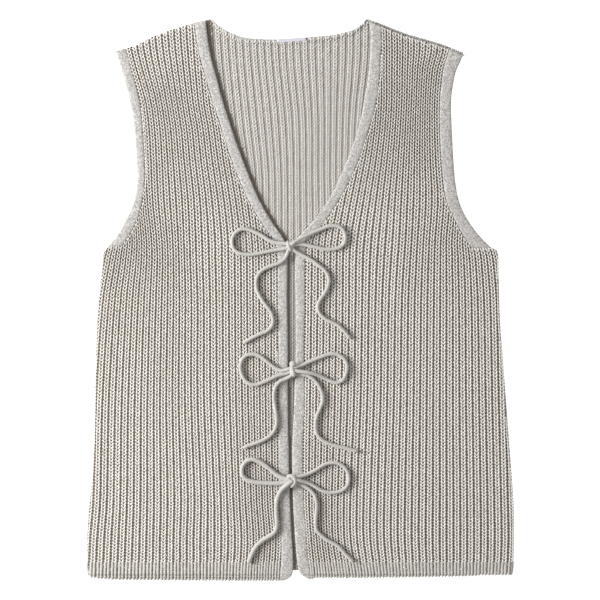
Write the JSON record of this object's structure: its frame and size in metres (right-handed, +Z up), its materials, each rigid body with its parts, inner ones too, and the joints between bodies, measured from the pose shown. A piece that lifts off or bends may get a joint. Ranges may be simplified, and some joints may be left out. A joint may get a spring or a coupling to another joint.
{
  "type": "knitted sweater vest",
  "caption": "Sleeveless cardigan vest in chunky ribbed knit, V-neck, fine plain bands and knitted cord ties in bows down the front opening, laid flat with its fronts up.",
  "frame": {"origin": "middle of the vest's outline, on the surface that it lies on", "axes": "+Z up from the surface, out of the fronts; +Y from the hem to the neck; +X to the viewer's right, seen from the front"},
  "size_m": [0.4416, 0.582, 0.0149],
  "materials": {
    "rib_knit": "chunky half-cardigan rib in soft warm grey yarn, matt with a light halo of fibres",
    "fine_knit": "fine plain knitted band in the same yarn, matt and close",
    "knitted_cord": "fine round knitted cord in the same yarn, matt",
    "label_tape": "woven satin tape, blank"
  },
  "bodies": {
    "root": {"back": "rib_knit", "front_left": "rib_knit", "front_right": "rib_knit", "front_band_left": "fine_knit", "front_band_right": "fine_knit", "neck_band_back": "fine_knit", "armhole_band_left_front": "fine_knit", "armhole_band_left_back": "fine_knit", "armhole_band_right_front": "fine_knit", "armhole_band_right_back": "fine_knit", "neck_label": "label_tape", "tie_top_knot": "knitted_cord", "tie_middle_knot": "knitted_cord", "tie_low_knot": "knitted_cord", "tie_top_left_loop": "knitted_cord", "tie_top_left_tail": "knitted_cord", "tie_top_right_loop": "knitted_cord", "tie_top_right_tail": "knitted_cord", "tie_middle_left_loop": "knitted_cord", "tie_middle_left_tail": "knitted_cord", "tie_middle_right_loop": "knitted_cord", "tie_middle_right_tail": "knitted_cord", "tie_low_left_loop": "knitted_cord", "tie_low_left_tail": "knitted_cord", "tie_low_right_loop": "knitted_cord", "tie_low_right_tail": "knitted_cord"}
  },
  "joints": []
}
